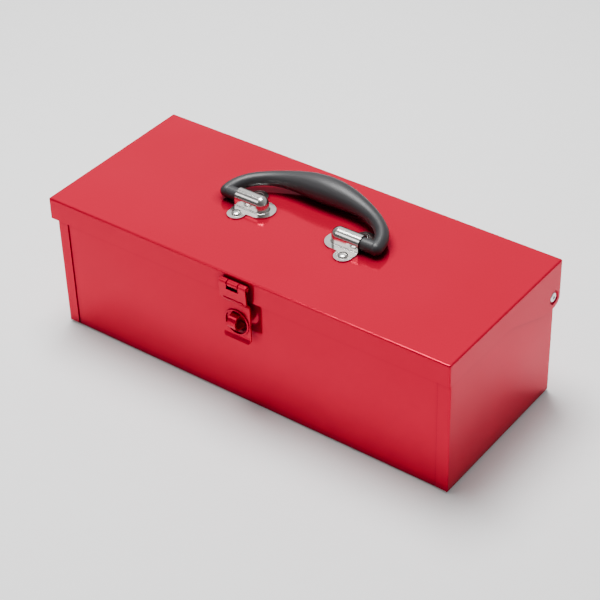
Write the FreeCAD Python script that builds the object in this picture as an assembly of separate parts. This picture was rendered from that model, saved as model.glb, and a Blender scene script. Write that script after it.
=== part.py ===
import FreeCAD, Part
import math
import os

# A small sheet-steel carrying box: a folded base, a hinged lid with ears, a swing handle in two
# stamped brackets, and a hasp over a staple. Millimetres. X runs along the box, the front is at -Y,
# Z is up. The origin is on the table, in the middle of the base's underside.

Vector = FreeCAD.Vector
ALONG_X = Vector(1, 0, 0)
ALONG_Y = Vector(0, 1, 0)
ALONG_Z = Vector(0, 0, 1)

# ---- overall sizes ----
box_width = 360.0            # over the lid's end flanges
box_depth = 149.0            # over the lid's front and back flanges
box_height = 118.5           # table to the top of the closed lid

# ---- sheet metal ----
sheet = 0.8                  # steel of the base and the lid
bend = 1.4                   # outside radius of a bend
hem_height = 7.0             # turned-in edge around the base's rim
lid_flange = 18.0            # depth of the lid's front and back flanges
lid_hem = 3.0                # turned-in edge of the lid's front flange
seam_width = 10.0            # end panel's flanges
end_gap = 1.4                # lid's end flange to the end panel
wall_gap = 4.0               # lid's front and back flanges to the base
rim_gap = 1.0                # underside of the lid to the base's rim
fold_gap = 0.4               # between folded pieces that meet in a corner

# ---- lid hinge, a blind rivet through each ear ----
pivot_below_top = 28.6
ear_slope = 21.5             # degrees, where the end flange widens into the ear
ear_sweep = 40.0             # radius of the two bends of that edge
rivet_body_r = 2.0
rivet_head_r = 3.8
rivet_head = 1.0
rivet_tail_r = 2.9
rivet_tail = 4.2
rivet_bore_r = 1.1
stem_r = 1.0
stem_ball_r = 1.8
stem_ball = 1.6
pivot_clearance = 0.06       # radial, ear on rivet
rivet_room = 0.2             # rivet's tail to the base's back wall
head_gap = 0.15              # rivet's head over the ear
dimple_floor_r = 4.6
dimple_slope = 1.3           # how much wider the dimple is at its mouth
dimple_gap = 0.2             # dimple to the end panel

# ---- handle ----
handle_y = 2.5               # hinge line, from the middle of the lid
handle_rise = 6.1            # hinge line above the lid
handle_reach = 36.6          # hinge line to the middle of the grip
handle_half = 67.6           # middle of the box to the middle of a leg
handle_power = 2.15          # squareness of the handle's outline
grip_r = 10.8
leg_r = 5.2                  # at the bottom of a leg
heel_r = 5.4                 # ball at the corner of leg and stub
swell_power = 3.7            # how soon the grip thins towards the legs
stub_r = 5.0
stub_end = 38.5              # middle of the box to the end of a stub
grip_gap = 0.3               # grip to the lid when the handle lies down
core_r = 2.0
core_heel_bend = 5.0

# ---- handle brackets ----
bracket_sheet = 0.9
stub_clearance = 0.4         # radial, stub in its housing
bracket_mouth = 56.0         # middle of the box to a bracket's open end
nose_centre = 35.9           # middle of the box to the centre of its round closed end
bracket_rim = 5.0            # flange around the housing
ear_x = 48.5
ear_out = 13.9               # hinge line to the middle of a bracket's ear
ear_r = 7.2
ear_blend = 4.0
foot_head_r = 3.8
foot_head = 1.7
foot_shank_r = 1.9
foot_tail_r = 2.9
foot_tail = 1.1
backing_sheet = 1.2
backing_half = 8.0
backing_over = 7.0           # backing plate beyond a rivet's axis

# ---- hasp ----
hasp_sheet = 1.2
hasp_pin_r = 1.35
pin_clearance = 0.05         # radial, knuckle on pin
knuckle_gap = 0.3            # knuckle to the lid's flange
hasp_axis_down = 5.3         # hinge pin below the top of the lid
hasp_half = 12.0
knuckle_half = 4.75          # middle knuckle, which belongs to the leaf
knuckle_space = 0.5          # between knuckles
notch_drop = 4.5             # hinge pin to the bottom of the window under the middle knuckle
joggle_top = 18.2            # below the top of the lid
joggle_drop = 4.2
hasp_lean = 0.9              # how far the upper part leans in before the joggle
hasp_face = 1.3              # hasp's lower face in front of the lid's flange
lip_top = 51.4
lip_bottom = 55.4
lip_out = 1.6
hasp_corner = 4.0
hasp_bend = 1.8              # radius of the bends at mid-thickness
bead_r = 0.9
bead_half = 9.0
hasp_root = 0.12             # how far the plate's front lies inside the front of its knuckles
window_down = 39.5           # below the top of the lid
window_r = 9.8
collar = 1.1                 # width and height of the raised ring around the window
leaf_drop = 16.6             # lower edge of the leaf below the top of the lid
leaf_rivet_x = 7.0
leaf_rivet_down = 12.5
small_head_r = 2.4
small_head = 1.1
small_shank_r = 1.5
small_tail_r = 2.3
small_tail = 0.8
pin_head_r = 1.8
pin_head = 0.5
pin_end_gap = 0.15

# ---- staple ----
staple_sheet = 1.5
staple_width = 7.0
staple_r = 7.0               # outside of the loop
staple_down = 38.0           # middle of the loop below the top of the lid
latch_reach = 8.5            # front of the loop in front of the lid's flange
staple_foot = 9.5            # length of each foot
staple_bend = 1.6

# ---- places worked out from those sizes ----
lid_x = box_width / 2
lid_front = -box_depth / 2
lid_back = box_depth / 2
lid_under = box_height - sheet
panel_x = lid_x - sheet - end_gap
panel_front = lid_front + sheet + wall_gap
panel_back = lid_back - sheet - wall_gap
rim_z = lid_under - rim_gap
wrap_x = panel_x - sheet - bend
wrap_front = panel_front + sheet
wrap_back = panel_back - sheet
pivot_y = wrap_back - sheet - rivet_room - rivet_tail_r
pivot_z = box_height - pivot_below_top
lid_ear_r = lid_back - pivot_y
ear_low = pivot_z - lid_ear_r
dimple_x = panel_x + dimple_gap
swing_y = handle_y
swing_z = box_height + handle_rise
rest_angle = math.degrees(math.asin((grip_r + grip_gap - handle_rise) / handle_reach))
housing_in = stub_r + stub_clearance
housing_out = housing_in + bracket_sheet
knuckle_r = hasp_pin_r + pin_clearance + hasp_sheet
hasp_y = lid_front - knuckle_gap - knuckle_r
hasp_z = box_height - hasp_axis_down


def block(x0, x1, y0, y1, z0, z1):
    return Part.makeBox(x1 - x0, y1 - y0, z1 - z0, Vector(x0, y0, z0))


def rod(radius, start, direction, length):
    return Part.makeCylinder(radius, length, start, direction)


def mirrored(shape):
    return shape.mirror(Vector(0, 0, 0), ALONG_X)


def joined(first, *others):
    return first.fuse(list(others)).removeSplitter()


def edges_at(shape, test):
    """The straight edges whose middle and direction pass the test."""
    found = []
    for edge in shape.Edges:
        if edge.Curve.TypeId == "Part::GeomLine" and test(edge.CenterOfMass, edge.tangentAt(edge.FirstParameter)):
            found.append(edge)
    return found


def runs(direction, axis):
    return abs(direction.dot(axis)) > 0.999


def turned(profile, axis_point, axis):
    """A solid of revolution: profile is a list of points in one plane with the axis."""
    face = Part.Face(Part.makePolygon(profile + profile[:1]))
    return face.revolve(axis_point, axis, 360)


def bent_path(points, radii):
    """A path of straight runs in a plane of constant X, with an arc at each inner point."""
    edges = []
    start = points[0]
    for before, corner, after, radius in zip(points, points[1:], points[2:], radii):
        into = (corner - before).normalize()
        away = (after - corner).normalize()
        turn = into.getAngle(away)
        cut = radius * math.tan(turn / 2)
        arc_start = corner - into * cut
        arc_end = corner + away * cut
        bisector = (away - into).normalize()
        middle = corner + bisector * (radius / math.cos(turn / 2) - radius)
        if (arc_start - start).Length > 1e-6:
            edges.append(Part.makeLine(start, arc_start))
        edges.append(Part.Arc(arc_start, middle, arc_end).toShape())
        start = arc_end
    edges.append(Part.makeLine(start, points[-1]))
    return Part.Wire(edges)


def bent_sheet(points, radii, thickness, half_width):
    """Sheet of one thickness bent along a path in the YZ plane, centred on X = 0."""
    path = bent_path(points, radii)
    start = points[0]
    along = (points[1] - start).normalize()
    across = along.cross(ALONG_X)
    corners = []
    for side_x, side_t in ((-1, -1), (1, -1), (1, 1), (-1, 1)):
        corners.append(start + ALONG_X * (side_x * half_width) + across * (side_t * thickness / 2))
    profile = Part.makePolygon(corners + corners[:1])
    return path.makePipeShell([profile], True, False)


def domed_head(radius, height, centre, direction):
    """A rivet's head: a spherical cap on a short straight rim, standing on centre."""
    rim = height * 0.3
    cap = height - rim
    ball = (radius * radius + cap * cap) / (2 * cap)
    half_angle = math.asin(radius / ball) / 2
    side = ALONG_Y if runs(direction, ALONG_X) else ALONG_X

    def spot(out, up):
        return centre + side * out + direction * up

    middle = spot(ball * math.sin(half_angle), height - ball + ball * math.cos(half_angle))
    edges = [
        Part.makeLine(spot(0, 0), spot(radius, 0)),
        Part.makeLine(spot(radius, 0), spot(radius, rim)),
        Part.Arc(spot(radius, rim), middle, spot(0, height)).toShape(),
        Part.makeLine(spot(0, height), spot(0, 0)),
    ]
    head = Part.Face(Part.Wire(edges)).revolve(centre, direction, 360)
    if head.Volume < 0:
        head.reverse()
    return head


def base_wrap():
    """Front, bottom and back of the base in one folded sheet, with a hem along both rims."""
    outer = block(-wrap_x, wrap_x, wrap_front, wrap_back, 0, rim_z)
    inner = block(-wrap_x, wrap_x, wrap_front + sheet, wrap_back - sheet, sheet, rim_z)
    outer = outer.makeFillet(bend, edges_at(outer, lambda p, d: runs(d, ALONG_X) and p.z < 0.1))
    inner = inner.makeFillet(bend - sheet, edges_at(inner, lambda p, d: runs(d, ALONG_X) and p.z < sheet + 0.1))
    hem_x = wrap_x - fold_gap
    wrap = outer.cut(inner)
    for wall in (wrap_front + sheet, wrap_back - 2 * sheet):
        wrap = wrap.fuse(block(-hem_x, hem_x, wall, wall + sheet, rim_z - hem_height, rim_z))
    wrap = wrap.removeSplitter()
    rolled = edges_at(
        wrap, lambda p, d: runs(d, ALONG_X) and p.z > rim_z - 0.01 and abs(p.x) < 1.0
    )
    wrap = wrap.makeFillet(sheet * 0.9, rolled)
    for down in (staple_down - staple_r - staple_foot / 2, staple_down + staple_r + staple_foot / 2):
        hole = rod(small_shank_r, Vector(0, wrap_front - 1, box_height - down), ALONG_Y, sheet + 2)
        wrap = wrap.cut(hole)
    return wrap


def end_panel():
    """Right end of the base: side flanges folded over the wrap's outside, and a bottom one inside."""
    floor_top = 2 * sheet
    outer = block(panel_x - seam_width, panel_x, panel_front, panel_back, sheet, rim_z)
    inner = block(
        panel_x - seam_width - 1, panel_x - sheet, panel_front + sheet, panel_back - sheet, floor_top, rim_z + 1
    )

    def folds(face_x, front, back, low):
        def test(p, d):
            on_face = abs(p.x - face_x) < 0.01
            upright = runs(d, ALONG_Z) and (abs(p.y - front) < 0.01 or abs(p.y - back) < 0.01)
            level = runs(d, ALONG_Y) and abs(p.z - low) < 0.01
            return on_face and (upright or level)
        return test

    outer = outer.makeFillet(bend, edges_at(outer, folds(panel_x, panel_front, panel_back, sheet)))
    inner = inner.makeFillet(
        bend - sheet, edges_at(inner, folds(panel_x - sheet, panel_front + sheet, panel_back - sheet, floor_top))
    )
    panel = outer.cut(inner)
    slit_x = panel_x - bend
    floor_front = wrap_front + bend + fold_gap
    floor_back = wrap_back - bend - fold_gap
    for low_y, high_y in ((panel_front - 1, floor_front), (floor_back, panel_back + 1)):
        panel = panel.cut(block(panel_x - seam_width - 1, slit_x, low_y, high_y, 0, floor_top))
    hem_front = wrap_front + sheet + fold_gap
    hem_back = wrap_back - sheet - fold_gap
    hem = block(panel_x - 2 * sheet, panel_x - sheet, hem_front, hem_back, rim_z - hem_height, rim_z)
    panel = joined(panel, hem)
    rolled = edges_at(
        panel,
        lambda p, d: runs(d, ALONG_Y) and p.z > rim_z - 0.01 and abs(p.y) < 5.0,
    )
    panel = panel.makeFillet(sheet * 0.45, rolled)
    hole = rod(rivet_body_r, Vector(panel_x - 5, pivot_y, pivot_z), ALONG_X, 10)
    return panel.cut(hole)


def below_edge():
    """What is trimmed from the lid's end flanges: everything under the edge that sweeps down to the ear."""
    slope = math.radians(ear_slope)
    high = box_height - lid_flange
    ear_tangent = pivot_y - 2.5
    corner_low = ear_tangent - ear_sweep * math.tan(slope / 2)
    corner_high = corner_low - (high - ear_low) / math.tan(slope)
    path = bent_path(
        [
            Vector(0, lid_front - 5, high),
            Vector(0, corner_high, high),
            Vector(0, corner_low, ear_low),
            Vector(0, pivot_y, ear_low),
        ],
        [ear_sweep, ear_sweep],
    )
    edges = list(path.Edges)
    ear_middle = Vector(
        0, pivot_y + lid_ear_r * math.cos(math.radians(45)), pivot_z - lid_ear_r * math.sin(math.radians(45))
    )
    edges.append(Part.Arc(Vector(0, pivot_y, ear_low), ear_middle, Vector(0, lid_back, pivot_z)).toShape())
    outline = [
        Vector(0, lid_back, pivot_z),
        Vector(0, lid_back + 5, pivot_z),
        Vector(0, lid_back + 5, ear_low - 5),
        Vector(0, lid_front - 5, ear_low - 5),
        Vector(0, lid_front - 5, high),
    ]
    for start, end in zip(outline, outline[1:]):
        edges.append(Part.makeLine(start, end))
    face = Part.Face(Part.Wire(edges))
    face.translate(Vector(-lid_x - 1, 0, 0))
    return face.extrude(Vector(box_width + 2, 0, 0))


def ear_dimple():
    """The dished disc around the right pivot, which carries the lid's ear in to the end panel."""
    hole_r = rivet_body_r + pivot_clearance
    inside = lid_x - sheet
    mouth_r = dimple_floor_r + dimple_slope
    seat_r = mouth_r + sheet
    profile = [
        (dimple_x, hole_r),
        (dimple_x, dimple_floor_r + sheet / 2),
        (inside, mouth_r + sheet / 2),
        (inside, seat_r),
        (lid_x, seat_r),
        (lid_x, mouth_r),
        (dimple_x + sheet, dimple_floor_r),
        (dimple_x + sheet, hole_r),
    ]
    points = [Vector(x, pivot_y, pivot_z + r) for x, r in profile]
    return turned(points, Vector(0, pivot_y, pivot_z), ALONG_X), seat_r


def lid_shell():
    """The lid: a top with flanges all round, hemmed in front, and an ear at each end of the back."""
    low = ear_low - 2
    outer = block(-lid_x, lid_x, lid_front, lid_back, low, box_height)
    inner = block(-lid_x + sheet, lid_x - sheet, lid_front + sheet, lid_back - sheet, low - 1, lid_under)
    outer = outer.makeFillet(
        bend, edges_at(outer, lambda p, d: p.z > low + 0.1)
    )
    inner = inner.makeFillet(bend - sheet, edges_at(inner, lambda p, d: p.z > low))
    lid = outer.cut(inner)
    lid = lid.cut(below_edge())
    back_low = box_height - lid_flange
    inside_x = lid_x - sheet
    lid = lid.cut(block(-inside_x, inside_x, lid_back - bend, lid_back + 1, low - 1, back_low))
    hem_y = lid_front + sheet
    hem_x = inside_x - fold_gap
    lid = lid.fuse(block(-hem_x, hem_x, hem_y, hem_y + sheet, back_low, back_low + lid_hem))
    dimple, seat_r = ear_dimple()
    seat = rod(seat_r, Vector(lid_x - sheet - 1, pivot_y, pivot_z), ALONG_X, sheet + 2)
    lid = lid.cut([seat, mirrored(seat)])
    lid = lid.fuse([dimple, mirrored(dimple)])
    for x, y in foot_places(1) + foot_places(-1):
        lid = lid.cut(rod(foot_shank_r, Vector(x, y, lid_under - 1), ALONG_Z, sheet + 2))
    for side in (-1, 1):
        place = Vector(side * leaf_rivet_x, lid_front - 1, box_height - leaf_rivet_down)
        lid = lid.cut(rod(small_shank_r, place, ALONG_Y, sheet + 2))
    return lid.removeSplitter()


def hinge_rivet():
    """The right blind rivet: a domed flange outside, and a tail swelled against the inside."""
    outside = dimple_x + sheet + head_gap
    inside = panel_x - sheet
    head = domed_head(rivet_head_r, rivet_head, Vector(outside, pivot_y, pivot_z), ALONG_X)
    body = rod(rivet_body_r, Vector(inside - 0.5, pivot_y, pivot_z), ALONG_X, outside - inside + 0.7)
    tail = rod(rivet_tail_r, Vector(inside - rivet_tail, pivot_y, pivot_z), ALONG_X, rivet_tail)
    tail = tail.makeFillet(1.0, [e for e in tail.Edges if e.Curve.TypeId == "Part::GeomCircle"][:1])
    rivet = joined(head, body, tail)
    bore = rod(rivet_bore_r, Vector(inside - rivet_tail - 1, pivot_y, pivot_z), ALONG_X, 20)
    return rivet.cut(bore)


def hinge_stem():
    """What is left of the blind rivet's drawn stem: a ball behind the tail and a stub in the bore."""
    inside = panel_x - sheet
    back = inside - rivet_tail
    stem = rod(stem_r, Vector(back - 0.5, pivot_y, pivot_z), ALONG_X, rivet_tail + 0.5)
    ball = domed_head(stem_ball_r, stem_ball, Vector(back, pivot_y, pivot_z), ALONG_X * -1)
    return joined(stem, ball)


def foot_places(side):
    """The two rivets of one handle bracket, side 1 on the right and -1 on the left."""
    return [(side * ear_x, swing_y - ear_out), (side * ear_x, swing_y + ear_out)]


def housing(radius, start, nose_x):
    """A round-topped channel with a quarter-ball nose, open below and at the bracket's mouth."""
    top = Vector(nose_x, swing_y, swing_z)
    channel = joined(
        block(nose_x, start, swing_y - radius, swing_y + radius, box_height, swing_z),
        rod(radius, top, ALONG_X, start - nose_x),
        rod(radius, Vector(nose_x, swing_y, box_height), ALONG_Z, handle_rise),
        Part.makeSphere(radius, top),
    )
    return channel.cut(block(0, box_width, -box_depth, box_depth, 0, box_height))


def handle_bracket():
    """The right bracket: one stamping with the housing for a stub, a flange and two riveting ears."""
    rim_r = housing_out + bracket_rim
    top = box_height + bracket_sheet
    flange = block(nose_centre, bracket_mouth, swing_y - rim_r, swing_y + rim_r, box_height, top)
    flange = flange.fuse(rod(rim_r, Vector(nose_centre, swing_y, box_height), ALONG_Z, bracket_sheet))
    for x, y in foot_places(1):
        flange = flange.fuse(rod(ear_r, Vector(x, y, box_height), ALONG_Z, bracket_sheet))
    flange = flange.removeSplitter()
    corners = edges_at(
        flange,
        lambda p, d: runs(d, ALONG_Z) and p.x < ear_x and abs(abs(p.y - swing_y) - rim_r) < 0.01
        and p.x > nose_centre + 1,
    )
    flange = flange.makeFillet(ear_blend, corners)
    bracket = joined(flange, housing(housing_out, bracket_mouth, nose_centre))
    bracket = bracket.cut(housing(housing_in, bracket_mouth + 1, nose_centre))
    for x, y in foot_places(1):
        bracket = bracket.cut(rod(foot_shank_r, Vector(x, y, box_height - 1), ALONG_Z, 5))
    return bracket


def bracket_rivets():
    """Two domed rivets of the right bracket, closed against the backing plate."""
    solids = []
    under = lid_under - backing_sheet
    top = box_height + bracket_sheet
    for x, y in foot_places(1):
        shank = rod(foot_shank_r, Vector(x, y, under), ALONG_Z, top - under)
        head = domed_head(foot_head_r, foot_head, Vector(x, y, top), ALONG_Z)
        tail = domed_head(foot_tail_r, foot_tail, Vector(x, y, under), Vector(0, 0, -1))
        solids.append(joined(shank, head, tail))
    return Part.makeCompound(solids)


def bracket_backing():
    """The plate under the lid that spreads the right bracket's load."""
    half = ear_out + backing_over
    plate = block(
        ear_x - backing_half, ear_x + backing_half, swing_y - half, swing_y + half,
        lid_under - backing_sheet, lid_under,
    )
    plate = plate.makeFillet(3.0, edges_at(plate, lambda p, d: runs(d, ALONG_Z)))
    for x, y in foot_places(1):
        plate = plate.cut(rod(foot_shank_r, Vector(x, y, lid_under - 5), ALONG_Z, 10))
    return plate


def laid_down(shape):
    """Takes a piece drawn with the handle standing out along Y to where the handle rests."""
    shape.rotate(Vector(0, 0, 0), ALONG_X, rest_angle)
    shape.translate(Vector(0, swing_y, swing_z))
    return shape


def handle_line(angle):
    """A point of the handle's centre line and its radius there; angle runs 0 to 180 from leg to leg."""
    power = 2 / handle_power
    across = math.cos(math.radians(angle))
    out = math.sin(math.radians(angle))
    x = handle_half * math.copysign(abs(across) ** power, across)
    y = handle_reach * out ** power
    swell = (1 - (x / handle_half) ** 2) ** swell_power
    return Vector(x, y, 0), leg_r + (grip_r - leg_r) * swell


def handle_core():
    """The steel rod inside the handle, whose two ends lie in the stubs."""
    bend_x = handle_half - core_heel_bend
    half = [Vector(stub_end, 0, 0), Vector((stub_end + bend_x) / 2, 0, 0), Vector(bend_x, 0, 0)]
    turn = core_heel_bend * (1 - math.cos(math.radians(45)))
    half.append(Vector(handle_half - turn, turn, 0))
    for angle in (14, 25, 38, 54, 72):
        half.append(handle_line(angle)[0])
    points = half + [Vector(0, handle_reach, 0)] + [Vector(-p.x, p.y, 0) for p in reversed(half)]
    line = Part.BSplineCurve()
    line.interpolate(points)
    circle = Part.Wire(Part.makeCircle(core_r, points[0], ALONG_X))
    return laid_down(Part.Wire(line.toShape()).makePipeShell([circle], True, False))


def handle_grip():
    """The moulded handle: a swelling grip, two legs, round heels and the stubs that turn in the brackets."""
    angles = [0, 2, 6, 11, 17, 24, 32, 41, 51, 62, 76, 90]
    angles += [180 - a for a in reversed(angles[:-1])]
    sections = []
    for angle in angles:
        centre, radius = handle_line(angle)
        before, _ = handle_line(max(angle - 0.5, 0))
        after, _ = handle_line(min(angle + 0.5, 180))
        along = ALONG_Y if angle == 0 else -ALONG_Y if angle == 180 else after - before
        sections.append(Part.Wire(Part.makeCircle(radius, centre, along)))
    grip = Part.makeLoft(sections, True, False)
    heel = Vector(handle_half, 0, 0)
    stub = rod(stub_r, heel, ALONG_X * -1, handle_half - stub_end)
    end = joined(stub, Part.makeSphere(heel_r, heel))
    grip = joined(grip, end, mirrored(end))
    return laid_down(grip).cut(handle_core())


def in_front(out, down):
    """A point in the hasp's side view: out from the lid's flange, down from the top of the lid."""
    return Vector(0, lid_front - out, box_height - down)


def hasp_leaf():
    """The fixed half of the hasp, on the lid's flange, with the middle knuckle."""
    leaf = block(
        -hasp_half + 1, hasp_half - 1, lid_front - hasp_sheet, lid_front, box_height - leaf_drop,
        hasp_z - knuckle_r - 0.5,
    )
    leaf = leaf.makeFillet(2.0, edges_at(leaf, lambda p, d: runs(d, ALONG_Y) and p.z < box_height - leaf_drop + 0.1))
    tongue = block(
        -knuckle_half, knuckle_half, lid_front - hasp_sheet, lid_front, box_height - leaf_drop + 3, hasp_z
    )
    knuckle = rod(knuckle_r, Vector(-knuckle_half, hasp_y, hasp_z), ALONG_X, 2 * knuckle_half)
    leaf = joined(leaf, tongue, knuckle)
    leaf = leaf.cut(rod(hasp_pin_r, Vector(-20, hasp_y, hasp_z), ALONG_X, 40))
    for side in (-1, 1):
        place = Vector(side * leaf_rivet_x, lid_front - 5, box_height - leaf_rivet_down)
        leaf = leaf.cut(rod(small_shank_r, place, ALONG_Y, 10))
    return leaf


def small_rivet(x, front, back, z):
    """A small domed rivet through sheet that lies between two values of Y."""
    shank = rod(small_shank_r, Vector(x, front, z), ALONG_Y, back - front)
    head = domed_head(small_head_r, small_head, Vector(x, front, z), -ALONG_Y)
    tail = domed_head(small_tail_r, small_tail, Vector(x, back, z), ALONG_Y)
    return joined(shank, head, tail)


def leaf_rivets():
    z = box_height - leaf_rivet_down
    front = lid_front - hasp_sheet
    back = lid_front + sheet
    return Part.makeCompound([small_rivet(side * leaf_rivet_x, front, back, z) for side in (-1, 1)])


def hasp_pin():
    """The hinge pin, with a small peened head at each end."""
    reach = hasp_half + pin_end_gap
    pin = rod(hasp_pin_r, Vector(-reach, hasp_y, hasp_z), ALONG_X, 2 * reach)
    heads = []
    for side in (-1, 1):
        heads.append(domed_head(pin_head_r, pin_head, Vector(side * reach, hasp_y, hasp_z), ALONG_X * side))
    return joined(pin, *heads)


def hasp_plate():
    """The swinging half: two knuckles, a joggle in to the base, a round window and a finger lip."""
    half_t = hasp_sheet / 2
    face = knuckle_gap + 2 * knuckle_r - half_t - hasp_root
    low_face = hasp_face - half_t
    points = [
        in_front(face, hasp_axis_down),
        in_front(face - hasp_lean, joggle_top),
        in_front(low_face, joggle_top + joggle_drop),
        in_front(low_face, lip_top),
        in_front(low_face + lip_out, lip_bottom),
    ]
    plate = bent_sheet(points, [hasp_bend] * 3, hasp_sheet, hasp_half)
    low = box_height - lip_bottom - 2
    outline = block(-hasp_half, hasp_half, lid_front - 20, lid_front + 20, low + 1.2, box_height)
    outline = outline.makeFillet(
        hasp_corner, edges_at(outline, lambda p, d: runs(d, ALONG_Y) and p.z < low + 2)
    )
    plate = plate.common(outline)
    bead = rod(bead_r, in_front(face - hasp_lean + half_t - 0.2, joggle_top) - ALONG_X * bead_half, ALONG_X, 2 * bead_half)
    ring_r = window_r + collar
    eye = Vector(0, lid_front - hasp_face - collar, box_height - window_down)
    ring = rod(ring_r, eye, ALONG_Y, collar + 0.1)
    ring = ring.makeFillet(collar * 0.45, [e for e in ring.Edges if abs(e.CenterOfMass.y - eye.y) < 0.01])
    inner_end = knuckle_half + knuckle_space
    knuckles = []
    for side in (-1, 1):
        start = min(side * inner_end, side * hasp_half)
        knuckles.append(rod(knuckle_r, Vector(start, hasp_y, hasp_z), ALONG_X, hasp_half - inner_end))
    plate = joined(plate, bead, ring, *knuckles)
    window = rod(window_r, eye - ALONG_Y * 5, ALONG_Y, 20)
    notch = block(
        -inner_end, inner_end, hasp_y - 10, hasp_y + 5, hasp_z - notch_drop, box_height + 5
    )
    bore = rod(hasp_pin_r + pin_clearance, Vector(-20, hasp_y, hasp_z), ALONG_X, 40)
    return plate.cut([window, notch, bore])


def staple():
    """The padlock loop on the base's front, a strip bent out and riveted down at both feet."""
    base_out = lid_front - wrap_front + staple_sheet / 2
    loop_r = staple_r - staple_sheet / 2
    tip = latch_reach - staple_sheet / 2
    foot_in = staple_down - loop_r
    foot_out = staple_down + loop_r
    points = [
        in_front(base_out, foot_in - staple_foot),
        in_front(base_out, foot_in),
        in_front(tip, foot_in),
        in_front(tip, foot_out),
        in_front(base_out, foot_out),
        in_front(base_out, foot_out + staple_foot),
    ]
    radii = [staple_bend, loop_r * 0.999, loop_r * 0.999, staple_bend]
    loop = bent_sheet(points, radii, staple_sheet, staple_width / 2)
    for down in staple_rivet_downs():
        loop = loop.cut(rod(small_shank_r, in_front(20, down), ALONG_Y, 40))
    return loop


def staple_rivet_downs():
    from_middle = staple_r + staple_foot / 2
    return [staple_down - from_middle, staple_down + from_middle]


def staple_rivets():
    front = wrap_front - staple_sheet
    back = wrap_front + sheet
    solids = [small_rivet(0, front, back, box_height - down) for down in staple_rivet_downs()]
    return Part.makeCompound(solids)


def build():
    """Every piece by name."""
    pieces = {
        "base_wrap": base_wrap(),
        "lid_shell": lid_shell(),
        "handle_grip": handle_grip(),
        "handle_core": handle_core(),
        "hasp_leaf": hasp_leaf(),
        "hasp_leaf_rivets": leaf_rivets(),
        "hasp_pin": hasp_pin(),
        "hasp_plate": hasp_plate(),
        "staple": staple(),
        "staple_rivets": staple_rivets(),
    }
    pairs = {
        "end_panel": end_panel(),
        "hinge_rivet": hinge_rivet(),
        "hinge_stem": hinge_stem(),
        "handle_bracket": handle_bracket(),
        "bracket_rivets": bracket_rivets(),
        "bracket_backing": bracket_backing(),
    }
    for name, shape in pairs.items():
        pieces[name + "_right"] = shape
        pieces[name + "_left"] = mirrored(shape)
    return pieces


os.makedirs("parts", exist_ok=True)
print("handle rests", round(rest_angle, 2), "degrees above the lid")
print("lid pivot", round(pivot_y, 2), round(pivot_z, 2), "handle", swing_y, swing_z, "hasp", hasp_y, hasp_z)
for name, shape in build().items():
    shape.exportStep("parts/" + name + ".step")
    print(name, "solids", len(shape.Solids), "valid", shape.isValid(), "mm3", round(shape.Volume, 1))
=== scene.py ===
# %% [markdown]
# # A small red steel carrying box
#
# The box is folded from thin sheet steel, sprayed candy red, and carried by a black plastic handle
# that lies down between two chromed brackets. Its folded sheets are taken from the CAD frame and
# only get narrow rounds along their edges. The pieces that a hand and an eye meet first (handle,
# brackets, rivets, hasp, staple) are modelled here again. This lesson goes piece by piece, and each
# cell prints what it made, so that a mistake shows up where it happens.

# %% The frame
import math

import bmesh
import bpy
from mathutils import Matrix, Vector


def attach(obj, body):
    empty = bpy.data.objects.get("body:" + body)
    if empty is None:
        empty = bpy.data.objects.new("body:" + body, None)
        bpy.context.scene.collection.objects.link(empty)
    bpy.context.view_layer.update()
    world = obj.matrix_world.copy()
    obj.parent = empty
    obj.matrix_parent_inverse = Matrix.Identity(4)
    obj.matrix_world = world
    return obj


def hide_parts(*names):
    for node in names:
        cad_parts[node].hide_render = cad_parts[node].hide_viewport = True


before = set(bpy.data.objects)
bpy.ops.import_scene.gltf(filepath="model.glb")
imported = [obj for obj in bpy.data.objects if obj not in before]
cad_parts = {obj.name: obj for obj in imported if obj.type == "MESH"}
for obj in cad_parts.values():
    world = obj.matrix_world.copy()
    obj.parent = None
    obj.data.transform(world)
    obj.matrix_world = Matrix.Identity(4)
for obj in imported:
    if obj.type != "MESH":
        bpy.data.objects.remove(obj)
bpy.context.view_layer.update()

# %% [markdown]
# Drawings of sheet metal are in millimetres and Blender works in metres, so every size below is
# written in millimetres and turned into metres by one small function. These are the places on the
# box that several pieces share: the top of the lid, the front of its flange, and the two lines that
# the handle and the hasp turn about.

# %% Shared places, in millimetres
LID_TOP = 118.5
LID_FRONT = -74.5
FLANGE_DEPTH = 18.0
BASE_FRONT = -68.9
SWING_Y = 2.5
SWING_Z = 124.6
REST_TILT = 7.85
HASP_Y = -77.4
HASP_Z = 113.2
LID_PIVOT_Y = 65.0
LID_PIVOT_Z = 89.9


def mm(*values):
    """Millimetres to metres: one number, or three as a point."""
    metres = [value / 1000 for value in values]
    return metres[0] if len(metres) == 1 else Vector(metres)


print("handle line at", SWING_Y, SWING_Z, "hasp line at", HASP_Y, HASP_Z)

# %% [markdown]
# An operator acts on whatever is selected, and the loaded frame leaves its own pieces selected.
# So each step starts by selecting nothing. In edit mode a primitive is selected all over, so the
# part to be pulled is picked by where it lies.

# %% Selecting by place
def clear():
    """Leave edit mode and select nothing."""
    if bpy.context.object and bpy.context.object.mode != "OBJECT":
        bpy.ops.object.mode_set(mode="OBJECT")
    bpy.ops.object.select_all(action="DESELECT")


def only(piece):
    """Make this piece the one that operators act on."""
    clear()
    piece.select_set(True)
    bpy.context.view_layer.objects.active = piece


def edit():
    bpy.ops.object.mode_set(mode="EDIT")


def done():
    bpy.ops.object.mode_set(mode="OBJECT")


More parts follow.
